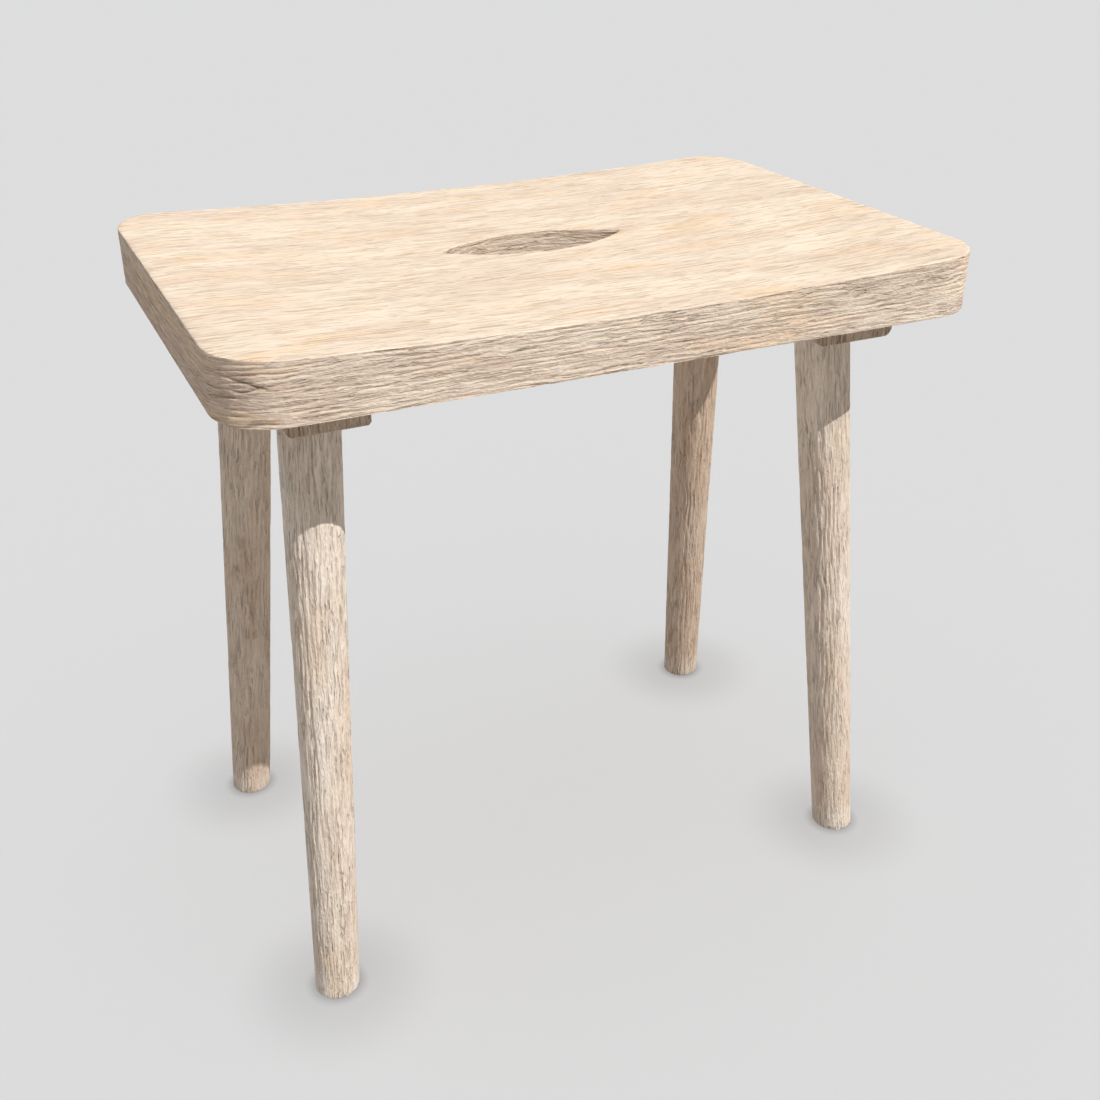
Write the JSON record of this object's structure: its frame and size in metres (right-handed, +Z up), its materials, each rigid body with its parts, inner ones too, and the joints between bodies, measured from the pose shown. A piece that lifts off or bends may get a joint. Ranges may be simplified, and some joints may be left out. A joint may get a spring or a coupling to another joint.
{
  "type": "milking stool",
  "caption": "Low wooden stool: thick plank seat with dished top, rounded corners and a pointed hand slot, cross battens below, splayed tapered round legs.",
  "frame": {"origin": "on the floor, directly below the middle of the seat", "axes": "+X along the seat's grain and its longer side, -Y towards the front, +Z up"},
  "size_m": [0.42, 0.28, 0.402],
  "materials": {
    "seat_wood": "bare open-grained wood, weathered pale, satin-dull, grain raised by wear",
    "leg_wood": "bare wood, shaved round, grain standing up in fine ridges",
    "batten_wood": "bare wood, darker where it is sheltered below the seat",
    "peg_wood": "bare hardwood, cleft and whittled"
  },
  "bodies": {
    "root": {"seat": "seat_wood", "left_batten": "batten_wood", "right_batten": "batten_wood", "front_left_leg": "leg_wood", "front_right_leg": "leg_wood", "back_left_leg": "leg_wood", "back_right_leg": "leg_wood", "front_left_wedge": "peg_wood", "front_right_wedge": "peg_wood", "back_left_wedge": "peg_wood", "back_right_wedge": "peg_wood", "left_front_peg": "peg_wood", "left_back_peg": "peg_wood", "right_front_peg": "peg_wood", "right_back_peg": "peg_wood"}
  },
  "joints": []
}
